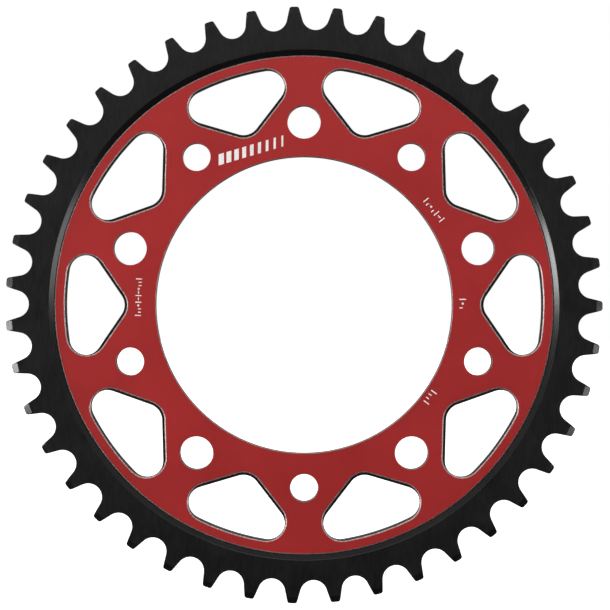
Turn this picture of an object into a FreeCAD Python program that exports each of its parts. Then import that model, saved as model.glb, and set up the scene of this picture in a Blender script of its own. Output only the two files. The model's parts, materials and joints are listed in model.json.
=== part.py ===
import FreeCAD, Part
import math
import os

# Rear sprocket for a 525 drive chain: a toothed steel body with a thin anodised aluminium disc
# bonded into a shallow recess in its outer face. The sprocket stands upright in its own frame:
# Y is the wheel axis, the outer face looks towards -Y and +Z is up. The origin is the centre of
# the bolt circle in the plane of the mounting face. Lengths are millimetres. An azimuth is counted
# in degrees clockwise from +Z, seen from the outer face.

# chain and teeth
TOOTH_COUNT = 43
CHAIN_PITCH = 15.875
ROLLER_DIAMETER = 10.16
SEAT_RADIUS = 0.505 * ROLLER_DIAMETER
SEAT_HALF_ANGLE = 72.0         # how far the roller seat wraps, each way from its lowest point
TIP_RADIUS = 112.5
TIP_CORNER_RADIUS = 1.0
FIRST_TOOTH_AZIMUTH = 90.2
TOOTH_BEVEL_WIDTH = 2.4        # radial
TOOTH_BEVEL_DEPTH = 1.1        # along the axis, on each side

# body
BODY_THICKNESS = 7.2
WEB_THICKNESS = 4.8
RECESS_OUTER_RADIUS = 96.05    # where the recess's cone meets the toothed ring's face
RECESS_WALL_RADIUS = 94.33
RECESS_CONE_DEPTH = 1.5
BORE_RADIUS = 56.0
BORE_CHAMFER = 0.4

# bolt holes
BOLT_CIRCLE_RADIUS = 69.0
HOLES_PER_SIZE = 5
LARGE_HOLE_RADIUS = 6.25
SMALL_HOLE_RADIUS = 5.25
LARGE_HOLE_AZIMUTH = 0.0
SMALL_HOLE_AZIMUTH = 36.0
HOLE_CHAMFER = 0.3

# windows
WINDOW_COUNT = 10
FIRST_WINDOW_AZIMUTH = 18.0
WINDOW_OUTER_RADIUS = 89.9
WINDOW_APEX_RADIUS = 67.75
WINDOW_CORNER_RADIUS = 6.3
WINDOW_SIDE_ANGLE = 55.6       # between a straight side and the window's own radius
WINDOW_CHAMFER = 0.15

# face disc and the film that bonds it; at the bore and the bolt holes the disc is flush with the
# body, and its windows are larger than the body's, so that a step of bare body shows round them
FILM_THICKNESS = 0.1
FILM_INSET = 0.4               # how far the film stops short of every edge but the bore's
DISC_THICKNESS = 0.8
DISC_EDGE_RADIUS = 94.1
DISC_EDGE_BEVEL = 0.4
DISC_BORE_BEVEL = 0.1
DISC_WINDOW_STEP = (1.0, 0.3)  # step along the sides and corners, and along the outer arc
DISC_WINDOW_BEVEL = 0.4

# plain marks on the disc: rows of small bars that stand just proud of its surface
MARK_HEIGHT = 0.03
EMBLEM_PLACE = (-19.7, 58.4)   # x, z of the middle
EMBLEM_TURN = 16.5             # anticlockwise, as all turns of the marks
EMBLEM_BARS = 9
EMBLEM_LENGTH = 24.0
EMBLEM_BAR_HEIGHT = 4.0
EMBLEM_WIDEST_BAR = 2.1
EMBLEM_NARROWEST_BAR = 0.7
EMBLEM_SLANT = 1.2
CODE_HEIGHT = 2.5
CODE_STEP = 1.6
ORIGIN_HEIGHT = 2.2
ORIGIN_STEP = 1.25

FAR = 20.0                     # cutters run this far past a face
RING_FACE = -BODY_THICKNESS
RECESS_FLOOR = -WEB_THICKNESS
DISC_BACK = RECESS_FLOOR - FILM_THICKNESS
DISC_FACE = DISC_BACK - DISC_THICKNESS
BODY_WINDOW = (0.0, 0.0)
PITCH_ANGLE = 360.0 / TOOTH_COUNT
PITCH_RADIUS = CHAIN_PITCH / (2.0 * math.sin(math.pi / TOOTH_COUNT))
AXIS = FreeCAD.Vector(0, 1, 0)
ORIGIN = FreeCAD.Vector(0, 0, 0)


def unit(azimuth):
    turn = math.radians(azimuth)
    return math.sin(turn), math.cos(turn)


def placed(point, azimuth, y):
    """Turns a drawn point (across, outwards) to its azimuth, at depth y."""
    sin_a, cos_a = unit(azimuth)
    across, outwards = point
    return FreeCAD.Vector(across * cos_a + outwards * sin_a, y, outwards * cos_a - across * sin_a)


def segment(start, end):
    return Part.LineSegment(start, end).toShape()


def arc(start, middle, end):
    return Part.Arc(start, middle, end).toShape()


def cylinder(radius, y_low, y_high, centre=(0.0, 0.0)):
    base = FreeCAD.Vector(centre[0], y_low, centre[1])
    return Part.makeCylinder(radius, y_high - y_low, base, AXIS)


def cone(radius_low, radius_high, y_low, y_high, centre=(0.0, 0.0)):
    base = FreeCAD.Vector(centre[0], y_low, centre[1])
    return Part.makeCone(radius_low, radius_high, y_high - y_low, base, AXIS)


def turned(profile):
    """Solid of revolution about the wheel axis from a closed list of (radius, y) points."""
    corners = [FreeCAD.Vector(radius, y, 0) for radius, y in profile]
    face = Part.Face(Part.makePolygon(corners + corners[:1]))
    return face.revolve(ORIGIN, AXIS, 360)


def prism(wire, y_low, y_high):
    """Straight solid from a wire drawn at y_low."""
    return Part.Face(wire).extrude(FreeCAD.Vector(0, y_high - y_low, 0))


# tooth outline

def gap_points():
    """Half of one tooth gap, drawn at azimuth 0: seat end, flank end, corner middle, tip start."""
    swing = math.radians(SEAT_HALF_ANGLE)
    seat_end = (SEAT_RADIUS * math.sin(swing), PITCH_RADIUS - SEAT_RADIUS * math.cos(swing))
    along = (math.cos(swing), math.sin(swing))
    into = (along[1], -along[0])
    # the corner's centre lies one corner radius inside the flank and inside the tip circle
    base = (seat_end[0] + TIP_CORNER_RADIUS * into[0], seat_end[1] + TIP_CORNER_RADIUS * into[1])
    reach = TIP_RADIUS - TIP_CORNER_RADIUS
    dot = base[0] * along[0] + base[1] * along[1]
    run = -dot + math.sqrt(dot**2 - base[0] ** 2 - base[1] ** 2 + reach**2)
    centre = (base[0] + run * along[0], base[1] + run * along[1])
    outward = (centre[0] / reach, centre[1] / reach)
    flank_end = (centre[0] - TIP_CORNER_RADIUS * into[0], centre[1] - TIP_CORNER_RADIUS * into[1])
    lean = (outward[0] - into[0], outward[1] - into[1])
    size = math.hypot(*lean)
    middle = tuple(c + TIP_CORNER_RADIUS * v / size for c, v in zip(centre, lean))
    tip_start = (outward[0] * TIP_RADIUS, outward[1] * TIP_RADIUS)
    return seat_end, flank_end, middle, tip_start


def mirrored(point):
    return -point[0], point[1]


def tooth_outline(y):
    """Closed outline of all the teeth, as tangent arcs and straight flanks."""
    seat_end, flank_end, middle, tip_start = gap_points()
    seat_low = (0.0, PITCH_RADIUS - SEAT_RADIUS)
    edges = []
    for index in range(TOOTH_COUNT):
        gap = FIRST_TOOTH_AZIMUTH + (index + 0.5) * PITCH_ANGLE
        left = [placed(mirrored(p), gap, y) for p in (tip_start, middle, flank_end, seat_end)]
        right = [placed(p, gap, y) for p in (seat_end, flank_end, middle, tip_start)]
        tooth_top = placed((0.0, TIP_RADIUS), gap + 0.5 * PITCH_ANGLE, y)
        next_tip = placed(mirrored(tip_start), gap + PITCH_ANGLE, y)
        edges.append(arc(left[0], left[1], left[2]))
        edges.append(segment(left[2], left[3]))
        edges.append(arc(left[3], placed(seat_low, gap, y), right[0]))
        edges.append(segment(right[0], right[1]))
        edges.append(arc(right[1], right[2], right[3]))
        edges.append(arc(right[3], tooth_top, next_tip))
    return Part.Wire(edges)


# window outline

def grown(step, amount):
    """A window's growth along its sides and along its outer arc, with the same added to both."""
    return step[0] + amount, step[1] + amount


def window_wire(azimuth, step, y):
    """Rounded three-sided window, grown by step along its sides and along its outer arc."""
    sin_s, cos_s = unit(WINDOW_SIDE_ANGLE)
    radius = WINDOW_CORNER_RADIUS + step[0]
    outer_radius = WINDOW_OUTER_RADIUS + step[1]
    apex = (0.0, WINDOW_APEX_RADIUS + WINDOW_CORNER_RADIUS)
    reach = outer_radius - radius
    run = -apex[1] * cos_s + math.sqrt(reach**2 - (apex[1] * sin_s) ** 2)
    corner = (run * sin_s, apex[1] + run * cos_s)
    side_start = (apex[0] + radius * cos_s, apex[1] - radius * sin_s)
    side_end = (corner[0] + radius * cos_s, corner[1] - radius * sin_s)
    outer_start = (corner[0] * (1 + radius / reach), corner[1] * (1 + radius / reach))
    lean = (outer_start[0] - corner[0] + side_end[0] - corner[0],
            outer_start[1] - corner[1] + side_end[1] - corner[1])
    size = math.hypot(*lean)
    corner_middle = (corner[0] + radius * lean[0] / size, corner[1] + radius * lean[1] / size)
    outer_middle = (0.0, outer_radius)
    apex_low = (0.0, apex[1] - radius)

    def at(point):
        return placed(point, azimuth, y)

    edges = [
        arc(at(mirrored(side_start)), at(apex_low), at(side_start)),
        segment(at(side_start), at(side_end)),
        arc(at(side_end), at(corner_middle), at(outer_start)),
        arc(at(outer_start), at(outer_middle), at(mirrored(outer_start))),
        arc(at(mirrored(outer_start)), at(mirrored(corner_middle)), at(mirrored(side_end))),
        segment(at(mirrored(side_end)), at(mirrored(side_start))),
    ]
    return Part.Wire(edges)


def window_azimuths():
    return [FIRST_WINDOW_AZIMUTH + index * 360.0 / WINDOW_COUNT for index in range(WINDOW_COUNT)]


def window_flare(azimuth, step_low, y_low, step_high, y_high):
    """Tapered cutter between two sizes of the same window."""
    wires = [window_wire(azimuth, step_low, y_low), window_wire(azimuth, step_high, y_high)]
    return Part.makeLoft(wires, True, True)


def holes():
    """Centre (x, z) and radius of every bolt hole."""
    found = []
    step = 360.0 / HOLES_PER_SIZE
    for first, radius in ((LARGE_HOLE_AZIMUTH, LARGE_HOLE_RADIUS), (SMALL_HOLE_AZIMUTH, SMALL_HOLE_RADIUS)):
        for index in range(HOLES_PER_SIZE):
            sin_a, cos_a = unit(first + index * step)
            found.append(((BOLT_CIRCLE_RADIUS * sin_a, BOLT_CIRCLE_RADIUS * cos_a), radius))
    return found


# the pieces

def body_blank():
    """Turned blank: bevelled rim on both sides, recessed web and chamfered bore."""
    bevel_start = TIP_RADIUS - TOOTH_BEVEL_WIDTH
    cone_floor = RING_FACE + RECESS_CONE_DEPTH
    return turned([
        (BORE_RADIUS + BORE_CHAMFER, 0.0),
        (bevel_start, 0.0),
        (TIP_RADIUS, -TOOTH_BEVEL_DEPTH),
        (TIP_RADIUS, RING_FACE + TOOTH_BEVEL_DEPTH),
        (bevel_start, RING_FACE),
        (RECESS_OUTER_RADIUS, RING_FACE),
        (RECESS_WALL_RADIUS, cone_floor),
        (RECESS_WALL_RADIUS, RECESS_FLOOR),
        (BORE_RADIUS, RECESS_FLOOR),
        (BORE_RADIUS, -BORE_CHAMFER),
    ])


def toothed_body():
    teeth = prism(tooth_outline(-FAR), -FAR, FAR)
    body = body_blank().common(teeth)
    cutters = []
    for centre, radius in holes():
        cutters.append(cylinder(radius, -FAR, FAR, centre))
        cutters.append(cone(radius, radius + HOLE_CHAMFER, -HOLE_CHAMFER, 0.0, centre))
    chamfered = grown(BODY_WINDOW, WINDOW_CHAMFER)
    chamfer_end = RECESS_FLOOR + WINDOW_CHAMFER
    for azimuth in window_azimuths():
        cutters.append(prism(window_wire(azimuth, BODY_WINDOW, -FAR), -FAR, FAR))
        cutters.append(window_flare(azimuth, BODY_WINDOW, -WINDOW_CHAMFER, chamfered, 0.0))
        cutters.append(window_flare(azimuth, chamfered, RECESS_FLOOR, BODY_WINDOW, chamfer_end))
    for cutter in cutters:
        body = body.cut(cutter)
    return body


def face_disc():
    """Thin disc whose outer, bore and window edges are bevelled towards the outer face."""
    bevel_low = DISC_FACE + DISC_EDGE_BEVEL
    disc = turned([
        (BORE_RADIUS, DISC_BACK),
        (DISC_EDGE_RADIUS, DISC_BACK),
        (DISC_EDGE_RADIUS, bevel_low),
        (DISC_EDGE_RADIUS - DISC_EDGE_BEVEL, DISC_FACE),
        (BORE_RADIUS + DISC_BORE_BEVEL, DISC_FACE),
        (BORE_RADIUS, DISC_FACE + DISC_BORE_BEVEL),
    ])
    for centre, radius in holes():
        disc = disc.cut(cylinder(radius, -FAR, FAR, centre))
    bevelled = grown(DISC_WINDOW_STEP, DISC_WINDOW_BEVEL)
    bevel_end = DISC_FACE + DISC_WINDOW_BEVEL
    for azimuth in window_azimuths():
        disc = disc.cut(prism(window_wire(azimuth, DISC_WINDOW_STEP, -FAR), -FAR, FAR))
        disc = disc.cut(window_flare(azimuth, bevelled, DISC_FACE, DISC_WINDOW_STEP, bevel_end))
    return disc


def bond_film():
    """Adhesive film under the disc, flush at the bore and set back from the other edges."""
    film = cylinder(DISC_EDGE_RADIUS - FILM_INSET, DISC_BACK, RECESS_FLOOR)
    film = film.cut(cylinder(BORE_RADIUS, -FAR, FAR))
    for centre, radius in holes():
        film = film.cut(cylinder(radius + FILM_INSET, -FAR, FAR, centre))
    for azimuth in window_azimuths():
        opening = window_wire(azimuth, grown(DISC_WINDOW_STEP, FILM_INSET), -FAR)
        film = film.cut(prism(opening, -FAR, FAR))
    return film


# marks

def mark_plate(corners, place, turn):
    """Thin plate from drawn (x, z) corners, turned anticlockwise and moved onto the disc."""
    angle = math.radians(turn)
    points = []
    for x, z in corners:
        px = place[0] + x * math.cos(angle) - z * math.sin(angle)
        pz = place[1] + x * math.sin(angle) + z * math.cos(angle)
        points.append(FreeCAD.Vector(px, DISC_FACE - MARK_HEIGHT, pz))
    face = Part.Face(Part.makePolygon(points + points[:1]))
    return face.extrude(FreeCAD.Vector(0, MARK_HEIGHT, 0))


def bar(x, z, width, height, slant=0.0):
    lean = slant / 2.0
    return [
        (x - width / 2 - lean, z - height / 2),
        (x + width / 2 - lean, z - height / 2),
        (x + width / 2 + lean, z + height / 2),
        (x - width / 2 + lean, z + height / 2),
    ]


def emblem_mark():
    """Row of slanted bars that grow narrower from left to right."""
    plates = []
    for index in range(EMBLEM_BARS):
        share = index / (EMBLEM_BARS - 1)
        width = EMBLEM_WIDEST_BAR + share * (EMBLEM_NARROWEST_BAR - EMBLEM_WIDEST_BAR)
        outline = bar((share - 0.5) * EMBLEM_LENGTH, 0.0, width, EMBLEM_BAR_HEIGHT, EMBLEM_SLANT)
        plates.append(mark_plate(outline, EMBLEM_PLACE, EMBLEM_TURN))
    return Part.makeCompound(plates)


# the bar of each sign as (up, width, height), in units of the row's height
SIGNS = {
    "tall": (0.0, 0.16, 1.0),
    "short": (-0.25, 0.16, 0.5),
    "dot": (0.0, 0.3, 0.3),
    "dash": (0.0, 0.5, 0.16),
}


def sign_row(names, azimuth, radius, turn, step, height):
    """Row of plain signs, like a scale's, centred on a place of the disc along the turned line."""
    sin_a, cos_a = unit(azimuth)
    place = (radius * sin_a, radius * cos_a)
    plates = []
    for index, name in enumerate(names):
        lift, width, tall = SIGNS[name]
        x = (index - (len(names) - 1) / 2.0) * step
        outline = bar(x, lift * height, width * height, tall * height)
        plates.append(mark_plate(outline, place, turn))
    return Part.makeCompound(plates)


def pattern_mark():
    names = ("tall", "short", "dot", "short", "tall", "dash", "tall")
    return sign_row(names, 53.8, 60.6, -51.0, CODE_STEP, CODE_HEIGHT)


def series_mark():
    return sign_row(("tall", "dot", "short"), 89.5, 59.8, -90.0, CODE_STEP, CODE_HEIGHT)


def tooth_count_mark():
    return sign_row(("tall", "short", "short", "tall"), 126.2, 58.9, -126.0, CODE_STEP, CODE_HEIGHT)


def origin_mark():
    names = ("tall", "short", "short", "dot", "tall", "dash", "tall", "dash", "dot", "short", "short", "tall")
    return sign_row(names, 272.7, 62.5, 88.4, ORIGIN_STEP, ORIGIN_HEIGHT)


def write(name, shape):
    if not shape.isValid():
        raise ValueError(name + " is not a valid solid")
    shape.exportStep("parts/" + name + ".step")
    box = shape.BoundBox
    print(name, "solids", len(shape.Solids), "volume mm3", round(shape.Volume, 1),
          "x", round(box.XMin, 2), round(box.XMax, 2),
          "y", round(box.YMin, 2), round(box.YMax, 2),
          "z", round(box.ZMin, 2), round(box.ZMax, 2))


def main():
    os.makedirs("parts", exist_ok=True)
    write("toothed_body", toothed_body())
    write("face_disc", face_disc())
    write("bond_film", bond_film())
    write("emblem_mark", emblem_mark())
    write("pattern_mark", pattern_mark())
    write("series_mark", series_mark())
    write("tooth_count_mark", tooth_count_mark())
    write("origin_mark", origin_mark())


main()
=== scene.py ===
import json
import math

import bmesh
import bpy
from mathutils import Matrix, Vector


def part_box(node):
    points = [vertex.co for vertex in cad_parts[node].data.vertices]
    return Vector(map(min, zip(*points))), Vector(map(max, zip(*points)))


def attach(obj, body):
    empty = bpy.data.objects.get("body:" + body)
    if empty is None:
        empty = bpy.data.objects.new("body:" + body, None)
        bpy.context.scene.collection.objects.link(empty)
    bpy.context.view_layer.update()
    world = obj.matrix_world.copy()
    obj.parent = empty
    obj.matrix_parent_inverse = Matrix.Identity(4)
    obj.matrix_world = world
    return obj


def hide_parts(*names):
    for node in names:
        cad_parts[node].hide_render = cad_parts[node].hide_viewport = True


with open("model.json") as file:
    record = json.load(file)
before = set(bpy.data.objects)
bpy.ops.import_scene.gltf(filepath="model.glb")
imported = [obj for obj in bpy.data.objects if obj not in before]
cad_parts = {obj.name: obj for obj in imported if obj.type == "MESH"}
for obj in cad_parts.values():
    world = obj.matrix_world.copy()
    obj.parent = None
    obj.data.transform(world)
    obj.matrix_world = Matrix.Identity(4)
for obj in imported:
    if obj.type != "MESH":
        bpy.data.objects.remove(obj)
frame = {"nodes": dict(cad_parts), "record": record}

# Rear sprocket, standing upright: the wheel axis is Y, the outer face looks towards -Y.
# Azimuths are counted clockwise from the top, seen from the outer face.

mm = 0.001
weldDistance = 2e-6
sharpFrom = math.radians(24)
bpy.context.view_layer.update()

bodyLow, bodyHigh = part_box("toothed_body")
discLow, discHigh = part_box("face_disc")
filmLow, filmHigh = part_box("bond_film")
mounts = {mount["name"]: mount for mount in frame["record"]["mounts"]}
boreRadius = mounts["centre_bore"]["dims"]["r_mm"] * mm
boltCircleRadius = mounts["large_bolt_holes"]["dims"]["pcd_mm"] * mm / 2
ringFaceY = bodyLow.y
mountingY = bodyHigh.y
recessFloorY = filmHigh.y
tipRadius = bodyHigh.x


# small helpers
def turned(point, azimuth):
    # a drawn (across, outwards) point, carried round the axis
    across, outwards = point
    sinA, cosA = math.sin(azimuth), math.cos(azimuth)
    return Vector((across * cosA + outwards * sinA, outwards * cosA - across * sinA))


def mirrored(pair):
    point, normal = pair
    return Vector((-point.x, point.y)), Vector((-normal.x, normal.y))


def softEdge(radius, steps=5):
    # (how far in from the edge, how far down) on a small rounded edge
    shares = [step / steps for step in range(steps + 1)]
    return [(radius * (1 - share) ** 2, radius * share**2) for share in shares]


def newObject(name, mesh):
    made = bpy.data.objects.new(name, mesh)
    bpy.context.scene.collection.objects.link(made)
    return made


def stripFaces(bm, rows, closed):
    # quads between rows of points, each row as long as the others
    grid = [[bm.verts.new(point) for point in row] for row in rows]
    count = len(rows[0])
    last = count if closed else count - 1
    for upper, lower in zip(grid, grid[1:]):
        for index in range(last):
            following = (index + 1) % count
            bm.faces.new((upper[index], upper[following], lower[following], lower[index]))


def loopWall(bm, loop, profile, closed=True):
    # loop: (point, normal) pairs; profile: (distance along the normal, y) pairs
    rows = []
    for grow, y in profile:
        spots = [point + normal * grow for point, normal in loop]
        rows.append([(spot.x, y, spot.y) for spot in spots])
    stripFaces(bm, rows, closed)


def circleLoop(radius, steps, centre=(0.0, 0.0)):
    loop = []
    for step in range(steps):
        normal = turned((0.0, 1.0), math.tau * step / steps)
        loop.append((Vector(centre) + normal * radius, normal))
    return loop


def meshFrom(bm, name):
    bmesh.ops.remove_doubles(bm, verts=bm.verts, dist=weldDistance)
    mesh = bpy.data.meshes.new(name)
    bm.to_mesh(mesh)
    bm.free()
    return mesh


def fillFlat(bm, y, slotIndex):
    # closes every open rim that lies at this y, leaving its holes open
    rims = [e for e in bm.edges if e.is_boundary and all(abs(v.co.y - y) < weldDistance for v in e.verts)]
    made = bmesh.ops.triangle_fill(bm, use_beauty=True, use_dissolve=False, edges=rims)
    for item in made["geom"]:
        if isinstance(item, bmesh.types.BMFace):
            item.material_index = slotIndex


# copies round the axis, made with geometry nodes
def buildRepeatTree():
    tree = bpy.data.node_groups.new("repeatAround", "GeometryNodeTree")
    sockets = tree.interface
    sockets.new_socket("Geometry", in_out="INPUT", socket_type="NodeSocketGeometry")
    sockets.new_socket("Count", in_out="INPUT", socket_type="NodeSocketInt")
    sockets.new_socket("First turn", in_out="INPUT", socket_type="NodeSocketFloat")
    sockets.new_socket("Weld distance", in_out="INPUT", socket_type="NodeSocketFloat")
    sockets.new_socket("Finish", in_out="INPUT", socket_type="NodeSocketMaterial")
    sockets.new_socket("Geometry", in_out="OUTPUT", socket_type="NodeSocketGeometry")
    nodes, links = tree.nodes, tree.links
    given = nodes.new("NodeGroupInput")
    result = nodes.new("NodeGroupOutput")
    spots = nodes.new("GeometryNodePoints")
    index = nodes.new("GeometryNodeInputIndex")
    step = nodes.new("ShaderNodeMath")
    step.operation = "DIVIDE"
    step.inputs[0].default_value = math.tau
    angle = nodes.new("ShaderNodeMath")
    angle.operation = "MULTIPLY_ADD"
    aboutAxis = nodes.new("ShaderNodeCombineXYZ")
    rotation = nodes.new("FunctionNodeEulerToRotation")
    placed = nodes.new("GeometryNodeInstanceOnPoints")
    real = nodes.new("GeometryNodeRealizeInstances")
    weld = nodes.new("GeometryNodeMergeByDistance")
    finish = nodes.new("GeometryNodeSetMaterial")
    links.new(given.outputs["Count"], spots.inputs["Count"])
    links.new(given.outputs["Count"], step.inputs[1])
    links.new(index.outputs["Index"], angle.inputs[0])
    links.new(step.outputs[0], angle.inputs[1])
    links.new(given.outputs["First turn"], angle.inputs[2])
    links.new(angle.outputs[0], aboutAxis.inputs["Y"])
    links.new(aboutAxis.outputs[0], rotation.inputs["Euler"])
    links.new(spots.outputs[0], placed.inputs["Points"])
    links.new(given.outputs["Geometry"], placed.inputs["Instance"])
    links.new(rotation.outputs[0], placed.inputs["Rotation"])
    links.new(placed.outputs[0], real.inputs[0])
    links.new(real.outputs[0], weld.inputs["Geometry"])
    links.new(given.outputs["Weld distance"], weld.inputs["Distance"])
    links.new(weld.outputs[0], finish.inputs["Geometry"])
    links.new(given.outputs["Finish"], finish.inputs["Material"])
    links.new(finish.outputs[0], result.inputs[0])
    return tree


repeatTree = buildRepeatTree()


def repeatAround(mesh, count, firstTurn, finish):
    # returns a plain mesh of the copies, welded where they meet
    holder = newObject("repeatHolder", mesh)
    modifier = holder.modifiers.new("repeatAround", "NODES")
    modifier.node_group = repeatTree
    wanted = {"Count": count, "First turn": firstTurn, "Weld distance": weldDistance, "Finish": finish}
    for item in repeatTree.interface.items_tree:
        if item.in_out == "INPUT" and item.name in wanted:
            modifier[item.identifier] = wanted[item.name]
    holder.update_tag()
    graph = bpy.context.evaluated_depsgraph_get()
    result = bpy.data.meshes.new_from_object(holder.evaluated_get(graph))
    bpy.data.objects.remove(holder)
    bpy.data.meshes.remove(mesh)
    return result


def joinedPiece(name, parts, flats, finishes):
    # parts: (mesh, slot) pairs; flats: (y, slot) pairs to close; finishes: one material per slot
    bm = bmesh.new()
    for mesh, slotIndex in parts:
        mesh.polygons.foreach_set("material_index", [slotIndex] * len(mesh.polygons))
        bm.from_mesh(mesh)
        bpy.data.meshes.remove(mesh)
    bmesh.ops.remove_doubles(bm, verts=bm.verts, dist=weldDistance)
    for y, slotIndex in flats:
        fillFlat(bm, y, slotIndex)
    bmesh.ops.recalc_face_normals(bm, faces=bm.faces)
    openEdges = sum(1 for edge in bm.edges if not edge.is_manifold)
    for edge in bm.edges:
        edge.smooth = edge.calc_face_angle(0.0) < sharpFrom
    for face in bm.faces:
        face.smooth = True
    mesh = bpy.data.meshes.new(name)
    bm.to_mesh(mesh)
    bm.free()
    piece = newObject(name, mesh)
    for finish in finishes:
        mesh.materials.append(finish)
    shading = piece.modifiers.new("evenShading", "WEIGHTED_NORMAL")
    shading.keep_sharp = True
    print(f"  {name}: {len(mesh.polygons)} faces, {openEdges} open edges")
    return piece


# material helpers
def startMaterial(name):
    material = bpy.data.materials.new(name)
    material.use_nodes = True
    nodes = material.node_tree.nodes
    shader = nodes["Principled BSDF"]
    coordinates = nodes.new("ShaderNodeTexCoord")
    return material, nodes, material.node_tree.links, shader, coordinates.outputs["Object"]


def noiseOf(nodes, links, vector, scale, detail=3.0, roughness=0.55):
    noise = nodes.new("ShaderNodeTexNoise")
    noise.inputs["Scale"].default_value = scale
    noise.inputs["Detail"].default_value = detail
    noise.inputs["Roughness"].default_value = roughness
    links.new(vector, noise.inputs["Vector"])
    return noise.outputs["Fac"]


def spanOf(nodes, links, value, low, high, fromLow=0.3, fromHigh=0.7):
    span = nodes.new("ShaderNodeMapRange")
    span.inputs["From Min"].default_value = fromLow
    span.inputs["From Max"].default_value = fromHigh
    span.inputs["To Min"].default_value = low
    span.inputs["To Max"].default_value = high
    links.new(value, span.inputs["Value"])
    return span.outputs["Result"]


def mathOf(nodes, links, operation, first, second):
    made = nodes.new("ShaderNodeMath")
    made.operation = operation
    for socket, value in zip(made.inputs, (first, second)):
        if isinstance(value, (int, float)):
            socket.default_value = value
        else:
            links.new(value, socket)
    return made.outputs[0]


def sumOf(nodes, links, weighted):
    # weighted: (texture, share) pairs
    total = 0.0
    for texture, share in weighted:
        total = mathOf(nodes, links, "ADD", total, mathOf(nodes, links, "MULTIPLY", texture, share))
    return total


def blendOf(nodes, links, amount, dark, light):
    mix = nodes.new("ShaderNodeMix")
    mix.data_type = "RGBA"
    mix.inputs["A"].default_value = (*dark, 1.0)
    mix.inputs["B"].default_value = (*light, 1.0)
    links.new(amount, mix.inputs["Factor"])
    return mix.outputs["Result"]


def bumpOf(nodes, links, height, distance, under=None):
    bump = nodes.new("ShaderNodeBump")
    bump.inputs["Strength"].default_value = 1.0
    bump.inputs["Distance"].default_value = distance
    links.new(height, bump.inputs["Height"])
    if under is not None:
        links.new(under, bump.inputs["Normal"])
    return bump.outputs["Normal"]


def polarOf(nodes, links, place):
    # (radius, azimuth, y) of a point on the part, so that a grain can follow the turning
    split = nodes.new("ShaderNodeSeparateXYZ")
    links.new(place, split.inputs[0])
    squareX = mathOf(nodes, links, "MULTIPLY", split.outputs["X"], split.outputs["X"])
    squareZ = mathOf(nodes, links, "MULTIPLY", split.outputs["Z"], split.outputs["Z"])
    radius = mathOf(nodes, links, "SQRT", mathOf(nodes, links, "ADD", squareX, squareZ), 0.0)
    azimuth = mathOf(nodes, links, "ARCTAN2", split.outputs["X"], split.outputs["Z"])
    return radius, azimuth, split.outputs["Y"]


# finishes
blackSteelLook = {
    "dark": (0.0012, 0.0012, 0.0011),
    "light": (0.0088, 0.0085, 0.0083),
    "toneRange": (0.38, 0.62),            # of the summed textures, from dark to light
    "roughness": (0.32, 0.40),
    "turnedRoughness": (0.18, 0.32),      # of the tooth bevels and the recess's cone
    "ior": 1.38,
    "cloudScale": 90.0,
    "cloudShare": 0.3,
    "streakSize": (0.5 * mm, 4.0 * mm),   # grinding marks: across, and upwards
    "streakShare": 0.5,
    "speckScale": 2600.0,
    "speckShare": 0.2,
    "lineSpacing": 0.16 * mm,
    "lineBreaks": 1.5,                    # along a turning line, per radian
    "lineHeight": 0.0012 * mm,
    "grainHeight": 0.003 * mm,
    "bevelFade": 0.2 * mm,
    "coneFade": 0.1 * mm,
    "frontFade": (-3 * mm, -2 * mm),      # depths between which the cone's finish ends
}


def turnedMask(nodes, links, radius, depth):
    # 1 from the start of the tooth bevels outwards and on the recess's cone, 0 elsewhere
    look = blackSteelLook
    onBevel = spanOf(nodes, links, radius, 0.0, 1.0, bevelRadius, bevelRadius + look["bevelFade"])
    coneMiddle = (recess["outerRadius"] + recess["wallRadius"]) / 2
    coneHalf = (recess["outerRadius"] - recess["wallRadius"]) / 2
    fromCone = mathOf(nodes, links, "ABSOLUTE", mathOf(nodes, links, "SUBTRACT", radius, coneMiddle), 0.0)
    onCone = spanOf(nodes, links, fromCone, 1.0, 0.0, coneHalf, coneHalf + look["coneFade"])
    onFront = spanOf(nodes, links, depth, 1.0, 0.0, *look["frontFade"])
    return mathOf(nodes, links, "MAXIMUM", onBevel, mathOf(nodes, links, "MULTIPLY", onCone, onFront))


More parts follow.
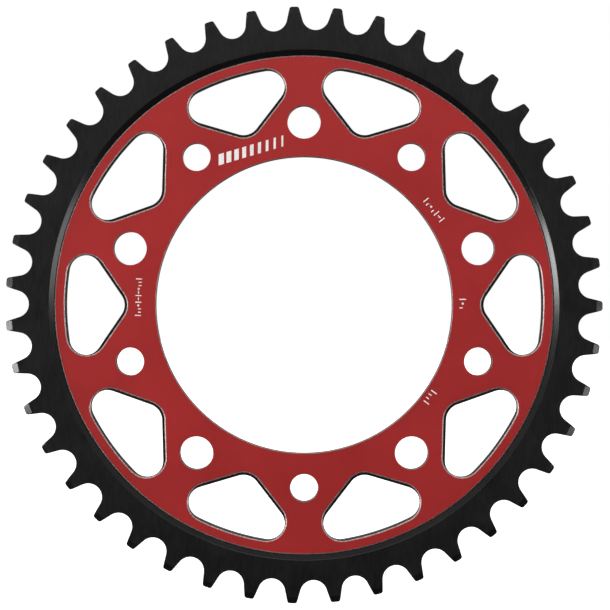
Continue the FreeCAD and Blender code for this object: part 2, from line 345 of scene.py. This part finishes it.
def blackSteel():
    look = blackSteelLook
    material, nodes, links, shader, place = startMaterial("blackSteel")
    radius, azimuth, depth = polarOf(nodes, links, place)
    around = nodes.new("ShaderNodeCombineXYZ")
    links.new(mathOf(nodes, links, "DIVIDE", radius, look["lineSpacing"]), around.inputs["X"])
    links.new(mathOf(nodes, links, "MULTIPLY", azimuth, look["lineBreaks"]), around.inputs["Y"])
    links.new(mathOf(nodes, links, "DIVIDE", depth, look["lineSpacing"]), around.inputs["Z"])
    lines = noiseOf(nodes, links, around.outputs[0], 1.0, 2.0)
    stretch = nodes.new("ShaderNodeMapping")
    across, upwards = look["streakSize"]
    stretch.inputs["Scale"].default_value = (1 / across, 1 / across, 1 / upwards)
    links.new(place, stretch.inputs["Vector"])
    streaks = noiseOf(nodes, links, stretch.outputs[0], 1.0, 2.0)
    cloud = noiseOf(nodes, links, place, look["cloudScale"], 4.0)
    specks = noiseOf(nodes, links, place, look["speckScale"], 2.0, 0.7)
    tone = sumOf(nodes, links, [(cloud, look["cloudShare"]), (streaks, look["streakShare"]),
                                (specks, look["speckShare"])])
    shade = spanOf(nodes, links, tone, 0.0, 1.0, *look["toneRange"])
    links.new(blendOf(nodes, links, shade, look["dark"], look["light"]), shader.inputs["Base Color"])
    mix = nodes.new("ShaderNodeMix")
    links.new(turnedMask(nodes, links, radius, depth), mix.inputs["Factor"])
    links.new(spanOf(nodes, links, tone, *look["roughness"]), mix.inputs["A"])
    links.new(spanOf(nodes, links, lines, *look["turnedRoughness"]), mix.inputs["B"])
    links.new(mix.outputs["Result"], shader.inputs["Roughness"])
    grain = bumpOf(nodes, links, specks, look["grainHeight"])
    links.new(bumpOf(nodes, links, lines, look["lineHeight"], grain), shader.inputs["Normal"])
    shader.inputs["Metallic"].default_value = 0.0
    shader.inputs["IOR"].default_value = look["ior"]
    return material


redLook = {
    "dark": (0.39, 0.016, 0.016),
    "light": (0.47, 0.022, 0.022),
    "toneRange": (0.38, 0.62),
    "roughness": (0.40, 0.48),
    "metallic": 0.35,
    "cloudScale": 35.0,
    "cloudShare": 0.55,
    "grainScale": 5200.0,
    "grainShare": 0.45,
    "grainHeight": 0.0012 * mm,
}


def redAnodised():
    look = redLook
    material, nodes, links, shader, place = startMaterial("redAnodised")
    cloud = noiseOf(nodes, links, place, look["cloudScale"], 3.0)
    grain = noiseOf(nodes, links, place, look["grainScale"], 2.0, 0.6)
    tone = sumOf(nodes, links, [(cloud, look["cloudShare"]), (grain, look["grainShare"])])
    shade = spanOf(nodes, links, tone, 0.0, 1.0, *look["toneRange"])
    links.new(blendOf(nodes, links, shade, look["dark"], look["light"]), shader.inputs["Base Color"])
    links.new(spanOf(nodes, links, grain, *look["roughness"]), shader.inputs["Roughness"])
    links.new(bumpOf(nodes, links, grain, look["grainHeight"]), shader.inputs["Normal"])
    shader.inputs["Metallic"].default_value = look["metallic"]
    return material


bareEdgeLook = {
    "dark": (0.22, 0.14, 0.13),
    "light": (0.95, 0.80, 0.78),
    "roughness": (0.42, 0.58),
    "metallic": 0.6,
    "scratchScale": 1800.0,
    "scratchHeight": 0.004 * mm,
}


def bareEdge():
    # the cut edges of the disc, where the colour was machined away
    look = bareEdgeLook
    material, nodes, links, shader, place = startMaterial("bareEdge")
    scratches = noiseOf(nodes, links, place, look["scratchScale"], 3.0)
    shade = spanOf(nodes, links, scratches, 0.0, 1.0)
    links.new(blendOf(nodes, links, shade, look["dark"], look["light"]), shader.inputs["Base Color"])
    links.new(spanOf(nodes, links, scratches, *look["roughness"]), shader.inputs["Roughness"])
    links.new(bumpOf(nodes, links, scratches, look["scratchHeight"]), shader.inputs["Normal"])
    shader.inputs["Metallic"].default_value = look["metallic"]
    return material


adhesiveLook = {
    "dark": (0.012, 0.012, 0.012),
    "light": (0.04, 0.038, 0.035),
    "roughness": (0.35, 0.6),
    "rippleScale": 700.0,
    "rippleHeight": 0.02 * mm,
}


def adhesive():
    look = adhesiveLook
    material, nodes, links, shader, place = startMaterial("adhesive")
    ripple = noiseOf(nodes, links, place, look["rippleScale"])
    links.new(blendOf(nodes, links, ripple, look["dark"], look["light"]), shader.inputs["Base Color"])
    links.new(spanOf(nodes, links, ripple, *look["roughness"]), shader.inputs["Roughness"])
    links.new(bumpOf(nodes, links, ripple, look["rippleHeight"]), shader.inputs["Normal"])
    return material


etchedLook = {
    "dark": (0.84, 0.76, 0.75),
    "light": (0.97, 0.94, 0.93),
    "roughness": (0.6, 0.8),
    "patchScale": 1500.0,
    "hatchScale": 2200.0,
    "hatchWaver": 1.5,
    "hatchHeight": 0.003 * mm,
}


def etchedWhite():
    # frosted surface with the fine hatching of a marking tool
    look = etchedLook
    material, nodes, links, shader, place = startMaterial("etchedWhite")
    hatch = nodes.new("ShaderNodeTexWave")
    hatch.bands_direction = "DIAGONAL"
    hatch.inputs["Scale"].default_value = look["hatchScale"]
    hatch.inputs["Distortion"].default_value = look["hatchWaver"]
    links.new(place, hatch.inputs["Vector"])
    patches = noiseOf(nodes, links, place, look["patchScale"])
    shade = spanOf(nodes, links, patches, 0.0, 1.0)
    links.new(blendOf(nodes, links, shade, look["dark"], look["light"]), shader.inputs["Base Color"])
    links.new(spanOf(nodes, links, patches, *look["roughness"]), shader.inputs["Roughness"])
    links.new(bumpOf(nodes, links, hatch.outputs["Fac"], look["hatchHeight"]), shader.inputs["Normal"])
    return material


# teeth
teeth = {
    "count": 43,
    "chainPitch": 15.875 * mm,
    "rollerDiameter": 10.16 * mm,
    "seatShare": 0.505,   # of the roller's diameter, for the radius of its seat
    "seatWrap": math.radians(72),
    "cornerRadius": 1.0 * mm,
    "firstAzimuth": math.radians(90.2),
    "bevelWidth": 2.4 * mm,
    "bevelDepth": 1.1 * mm,
    "edgeRound": 0.22 * mm,
    "seatSteps": 10,
    "cornerSteps": 6,
    "tipSteps": 6,
    "ringSteps": 5,   # segments of the ring per tooth
}
recess = {
    "outerRadius": 96.05 * mm,
    "wallRadius": 94.33 * mm,
    "coneDepth": 1.5 * mm,
    "edgeRound": 0.25 * mm,
    "edgeSteps": 4,
}
bevelRadius = tipRadius - teeth["bevelWidth"]


def gapHalf():
    # outline of half a tooth gap, from its lowest point to the top of the next tooth,
    # as (point, direction into the steel), and where its inset edge crosses the bevel
    halfPitch = math.pi / teeth["count"]
    wrap = teeth["seatWrap"]
    corner = teeth["cornerRadius"]
    seatRadius = teeth["seatShare"] * teeth["rollerDiameter"]
    rollerCentre = Vector((0, teeth["chainPitch"] / (2 * math.sin(halfPitch))))
    along = Vector((math.cos(wrap), math.sin(wrap)))
    into = Vector((math.sin(wrap), -math.cos(wrap)))
    outline = []
    for step in range(teeth["seatSteps"] + 1):
        swing = wrap * step / teeth["seatSteps"]
        normal = Vector((math.sin(swing), -math.cos(swing)))
        outline.append((rollerCentre + seatRadius * normal, normal))
    seatEnd = outline[-1][0]

    def runTo(start, radius):
        dot = start.dot(along)
        return -dot + math.sqrt(dot**2 - start.length_squared + radius**2)

    inset = seatEnd + teeth["edgeRound"] * into
    crossing = len(outline)
    outline.append((seatEnd + runTo(inset, bevelRadius) * along, into))
    cornerCentre = seatEnd + corner * into
    cornerCentre = cornerCentre + runTo(cornerCentre, tipRadius - corner) * along
    startTurn = math.atan2(into.y, into.x)
    endTurn = math.atan2(-cornerCentre.y, -cornerCentre.x)
    for step in range(teeth["cornerSteps"] + 1):
        turn = startTurn + (endTurn - startTurn) * step / teeth["cornerSteps"]
        normal = Vector((math.cos(turn), math.sin(turn)))
        outline.append((cornerCentre - corner * normal, normal))
    tipStart = len(outline) - 1
    startAzimuth = math.atan2(cornerCentre.x, cornerCentre.y)
    for step in range(1, teeth["tipSteps"] // 2 + 1):
        azimuth = startAzimuth + (halfPitch - startAzimuth) * step / (teeth["tipSteps"] // 2)
        outline.append((turned((0, tipRadius), azimuth), turned((0, -1), azimuth)))
    outline = [(turned(point, -halfPitch), turned(normal, -halfPitch)) for point, normal in outline]
    return outline, crossing, tipStart


def faceDrop(radius):
    return max(0.0, radius - bevelRadius) * teeth["bevelDepth"] / teeth["bevelWidth"]


def rimRow(outline, inset, down, side):
    # side is -1 on the outer face and 1 on the mounting face
    faceY = ringFaceY if side < 0 else mountingY
    row = []
    for point, normal in outline:
        spot = point + normal * inset
        row.append((spot.x, faceY - side * (faceDrop(spot.length) + down), spot.y))
    return row


def toothTop(bm, leftHalf, crossing, tipStart, side):
    # sloping patch between the two flanks of one tooth, above the start of the bevel
    rows = []
    for point, normal in leftHalf[crossing:tipStart + 1]:
        spot = point + normal * teeth["edgeRound"]
        azimuth, radius = math.atan2(spot.x, spot.y), spot.length
        row = []
        for step in range(teeth["tipSteps"] + 1):
            here = turned((0, radius), azimuth * (1 - 2 * step / teeth["tipSteps"]))
            faceY = ringFaceY if side < 0 else mountingY
            row.append((here.x, faceY - side * faceDrop(radius), here.y))
        rows.append(row)
    stripFaces(bm, rows, closed=False)
    return rows[0]


def toothSector():
    # one tooth with half a gap on each side, and its share of the ring
    halfPitch = math.pi / teeth["count"]
    leftHalf, crossing, tipStart = gapHalf()
    outline = leftHalf + [mirrored(pair) for pair in leftHalf[-2::-1]]
    bm = bmesh.new()
    edge = softEdge(teeth["edgeRound"])
    rows = [rimRow(outline, inset, down, -1) for inset, down in edge]
    rows += [rimRow(outline, inset, down, 1) for inset, down in reversed(edge)]
    stripFaces(bm, rows, closed=False)

    azimuths = [halfPitch * (2 * step / teeth["ringSteps"] - 1) for step in range(teeth["ringSteps"] + 1)]
    ringLoop = [(Vector((0, 0)), turned((0, 1), azimuth)) for azimuth in azimuths]
    edgeIn = recess["edgeRound"]
    slope = math.atan2(recess["coneDepth"], recess["outerRadius"] - recess["wallRadius"])
    profile = [(recess["outerRadius"] + edgeIn, ringFaceY)]
    for step in range(1, recess["edgeSteps"] + 1):
        share = step / recess["edgeSteps"]
        radius = recess["outerRadius"] + edgeIn * ((1 - share) ** 2 - share**2 * math.cos(slope))
        profile.append((radius, ringFaceY + edgeIn * share**2 * math.sin(slope)))
    profile.append((recess["wallRadius"], ringFaceY + recess["coneDepth"]))
    profile.append((recess["wallRadius"], recessFloorY))
    loopWall(bm, ringLoop, profile, closed=False)

    for side, innerRadius in ((-1, profile[0][0]), (1, recess["wallRadius"])):
        faceY = ringFaceY if side < 0 else mountingY
        acrossTooth = toothTop(bm, leftHalf, crossing, tipStart, side)
        flank = rimRow(leftHalf[:crossing], teeth["edgeRound"], 0.0, side)
        corners = [(normal.x * innerRadius, faceY, normal.y * innerRadius) for _, normal in ringLoop]
        corners += [(-x, y, z) for x, y, z in flank]
        corners += acrossTooth[::-1]
        corners += flank[::-1]
        bm.faces.new([bm.verts.new(corner) for corner in corners])
    return meshFrom(bm, "toothSector")


# windows and holes
windows = {
    "count": 10,
    "firstAzimuth": math.radians(18),
    "outerRadius": 89.9 * mm,
    "apexRadius": 67.75 * mm,
    "cornerRadius": 6.3 * mm,
    "sideAngle": math.radians(55.6),
    "edgeRound": 0.14 * mm,
    "cornerSteps": 14,
    "arcSteps": 16,
}
holes = {
    "perSize": 5,
    "largeRadius": mounts["large_bolt_holes"]["dims"]["hole_r_mm"] * mm,
    "smallRadius": mounts["small_bolt_holes"]["dims"]["hole_r_mm"] * mm,
    "largeAzimuth": 0.0,
    "smallAzimuth": math.radians(36),
    "edgeRound": 0.25 * mm,
    "steps": 72,
    "boreSteps": 300,
}


def windowOutline(sideStep, outerStep):
    # rounded three-sided outline pointing at the axis, grown a step along its sides and its outer arc
    radius = windows["cornerRadius"] + sideStep
    outerRadius = windows["outerRadius"] + outerStep
    apexCentre = Vector((0, windows["apexRadius"] + windows["cornerRadius"]))
    sideWay = Vector((math.sin(windows["sideAngle"]), math.cos(windows["sideAngle"])))
    reach = outerRadius - radius
    run = -apexCentre.dot(sideWay) + math.sqrt(
        apexCentre.dot(sideWay) ** 2 - apexCentre.length_squared + reach**2)
    cornerCentre = apexCentre + run * sideWay
    sideTurn = math.atan2(-sideWay.x, sideWay.y)
    outerTurn = math.atan2(cornerCentre.y, cornerCentre.x)
    half = []

    def sweep(centre, size, start, end, steps):
        for step in range(steps + 1):
            turn = start + (end - start) * step / steps
            half.append(centre + size * Vector((math.cos(turn), math.sin(turn))))

    sweep(apexCentre, radius, -math.pi / 2, sideTurn, windows["cornerSteps"] // 2)
    sweep(cornerCentre, radius, sideTurn, outerTurn, windows["cornerSteps"])
    half.pop()
    sweep(Vector((0, 0)), outerRadius, outerTurn, math.pi / 2, windows["arcSteps"] // 2)
    return half + [Vector((-spot.x, spot.y)) for spot in half[-2:0:-1]]


def wall(loop, profile, name):
    bm = bmesh.new()
    loopWall(bm, loop, profile)
    return meshFrom(bm, name)


def throughProfile(edgeRound, frontY, backY):
    edge = softEdge(edgeRound)
    profile = [(inset, frontY + down) for inset, down in edge]
    return profile + [(inset, backY - down) for inset, down in reversed(edge)]


def windowsAround(profile, finish, step=(0.0, 0.0)):
    # profile: (growth, y) pairs, on top of a step along the sides and one along the outer arc
    rows = []
    for grow, y in profile:
        outline = windowOutline(step[0] + grow, step[1] + grow)
        rows.append([(spot.x, y, spot.y) for spot in outline])
    bm = bmesh.new()
    stripFaces(bm, rows, closed=True)
    return repeatAround(meshFrom(bm, "windowWall"), windows["count"], windows["firstAzimuth"], finish)


def holesAround(radius, azimuth, profile, finish):
    mesh = wall(circleLoop(radius, holes["steps"], (0, boltCircleRadius)), profile, "holeWall")
    return repeatAround(mesh, holes["perSize"], azimuth, finish)


# the steel body
def makeToothedBody(finish):
    ring = repeatAround(toothSector(), teeth["count"], teeth["firstAzimuth"], finish)
    windowProfile = throughProfile(windows["edgeRound"], recessFloorY, mountingY)
    holeProfile = throughProfile(holes["edgeRound"], recessFloorY, mountingY)
    parts = [
        (ring, 0),
        (windowsAround(windowProfile, finish), 0),
        (holesAround(holes["largeRadius"], holes["largeAzimuth"], holeProfile, finish), 0),
        (holesAround(holes["smallRadius"], holes["smallAzimuth"], holeProfile, finish), 0),
        (wall(circleLoop(boreRadius, holes["boreSteps"]), holeProfile, "boreWall"), 0),
    ]
    piece = joinedPiece("toothedBody", parts, [(recessFloorY, 0), (mountingY, 0)], [finish])
    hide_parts("toothed_body")
    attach(piece, "root")


# the face disc
disc = {
    "edgeBevel": 0.4 * mm,
    "boreBevel": 0.1 * mm,
    "holeBevel": 0.06 * mm,
    "windowStep": (1.0 * mm, 0.3 * mm),   # along the sides, and along the outer arc
    "windowBevel": 0.4 * mm,
}


def bevelProfile(bevel):
    # straight wall from the back, then a bevel that opens towards the face
    return [(0.0, discHigh.y), (0.0, discLow.y + bevel), (bevel, discLow.y)]


def makeFaceDisc(redFinish, bareFinish):
    rim = [(-grow, y) for grow, y in bevelProfile(disc["edgeBevel"])]
    holeProfile = bevelProfile(disc["holeBevel"])
    boreProfile = bevelProfile(disc["boreBevel"])
    windowProfile = bevelProfile(disc["windowBevel"])
    parts = [
        (wall(circleLoop(discHigh.x, holes["boreSteps"]), rim, "discRim"), 1),
        (wall(circleLoop(boreRadius, holes["boreSteps"]), boreProfile, "discBore"), 1),
        (windowsAround(windowProfile, bareFinish, disc["windowStep"]), 1),
        (holesAround(holes["largeRadius"], holes["largeAzimuth"], holeProfile, bareFinish), 1),
        (holesAround(holes["smallRadius"], holes["smallAzimuth"], holeProfile, bareFinish), 1),
    ]
    piece = joinedPiece("faceDisc", parts, [(discLow.y, 0), (discHigh.y, 1)], [redFinish, bareFinish])
    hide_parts("face_disc")
    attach(piece, "root")


def dress(node, finish):
    # a part of the frame that keeps its shape and gets a finish
    mesh = frame["nodes"][node].data
    mesh.materials.clear()
    mesh.materials.append(finish)


# floor, lights and camera
studio = {
    "cameraDistance": 0.80,
    "frameWidth": 0.2295,         # what the picture spans at the ring's face
    "cameraAside": 0.35 * mm,
    "cameraUp": 0.0,
    "sensorWidth": 36.0,          # in millimetres, as cameras state it
    "nearClip": 0.01,
    "floorRadius": 6.0,
    "floorSteps": 96,
    "floorShade": 0.85,
    "floorRoughness": 0.8,
    "floorGlow": 1.0,
    "fromBelow": 0.09,            # strength of the surroundings low down and high up
    "fromAbove": 0.60,
    "fromHeights": (-0.1, 0.5),
    "left": {"place": (-0.87, -0.47, -0.153), "size": (0.90, 0.28), "power": 18.5},
    "right": {"place": (0.86, -0.47, -0.206), "size": (0.90, 0.38), "power": 6.4},
    "top": {"place": (0.0, -1.05, 0.68), "size": (0.50, 0.80), "power": 2.6},
}


def makeFloor():
    bm = bmesh.new()
    bmesh.ops.create_circle(bm, cap_ends=True, segments=studio["floorSteps"],
                              radius=studio["floorRadius"])
    mesh = bpy.data.meshes.new("floor")
    bm.to_mesh(mesh)
    bm.free()
    mesh.transform(Matrix.Translation((0, 0, bodyLow.z)))
    floor = newObject("floor", mesh)
    material, nodes, links, shader, place = startMaterial("paleFloor")
    shade = studio["floorShade"]
    shader.inputs["Base Color"].default_value = (shade, shade, shade, 1.0)
    shader.inputs["Roughness"].default_value = studio["floorRoughness"]
    shader.inputs["Emission Color"].default_value = (1.0, 1.0, 1.0, 1.0)
    shader.inputs["Emission Strength"].default_value = studio["floorGlow"]
    mesh.materials.append(material)
    floor.visible_glossy = False
    floor.visible_diffuse = False


def makeWorld():
    world = bpy.data.worlds.new("studioWorld")
    bpy.context.scene.world = world
    world.use_nodes = True
    nodes, links = world.node_tree.nodes, world.node_tree.links
    output = nodes["World Output"]
    dim = nodes["Background"]
    dim.inputs["Color"].default_value = (1.0, 1.0, 1.0, 1.0)
    way = nodes.new("ShaderNodeTexCoord")
    split = nodes.new("ShaderNodeSeparateXYZ")
    links.new(way.outputs["Generated"], split.inputs[0])
    links.new(spanOf(nodes, links, split.outputs["Z"], studio["fromBelow"], studio["fromAbove"],
                     *studio["fromHeights"]), dim.inputs["Strength"])
    white = nodes.new("ShaderNodeBackground")
    white.inputs["Color"].default_value = (1.0, 1.0, 1.0, 1.0)
    white.inputs["Strength"].default_value = 1.0
    seen = nodes.new("ShaderNodeLightPath")
    mix = nodes.new("ShaderNodeMixShader")
    links.new(seen.outputs["Is Camera Ray"], mix.inputs[0])
    links.new(dim.outputs[0], mix.inputs[1])
    links.new(white.outputs[0], mix.inputs[2])
    links.new(mix.outputs[0], output.inputs["Surface"])


def makeSoftbox(name):
    # faces the origin; the first of its sides lies in one plane with the wheel axis
    box = studio[name]
    light = bpy.data.lights.new(name, "AREA")
    light.shape = "RECTANGLE"
    light.size, light.size_y = box["size"]
    light.energy = box["power"]
    lamp = bpy.data.objects.new(name, light)
    bpy.context.scene.collection.objects.link(lamp)
    away = Vector(box["place"]).normalized()
    along = Vector((0, 1, 0)).cross(away).normalized().cross(away)
    turn = Matrix((along, away.cross(along), away)).transposed().to_4x4()
    lamp.matrix_world = Matrix.Translation(box["place"]) @ turn


def makeCamera():
    data = bpy.data.cameras.new("camera")
    data.sensor_width = studio["sensorWidth"]
    data.lens = data.sensor_width * studio["cameraDistance"] / studio["frameWidth"]
    data.clip_start = studio["nearClip"]
    camera = bpy.data.objects.new("camera", data)
    bpy.context.scene.collection.objects.link(camera)
    camera.location = (studio["cameraAside"], ringFaceY - studio["cameraDistance"], studio["cameraUp"])
    camera.rotation_euler = (math.pi / 2, 0, 0)
    bpy.context.scene.camera = camera


print("finishes")
steelFinish = blackSteel()
redFinish = redAnodised()
bareFinish = bareEdge()
markFinish = etchedWhite()

print("toothed body")
makeToothedBody(steelFinish)

print("face disc, film and marks")
makeFaceDisc(redFinish, bareFinish)
dress("bond_film", adhesive())
for node in frame["nodes"]:
    if node.endswith("_mark"):
        dress(node, markFinish)

print("floor, lights and camera")
makeFloor()
makeWorld()
for name in ("left", "right", "top"):
    makeSoftbox(name)
makeCamera()
bpy.context.scene.view_settings.view_transform = "Standard"
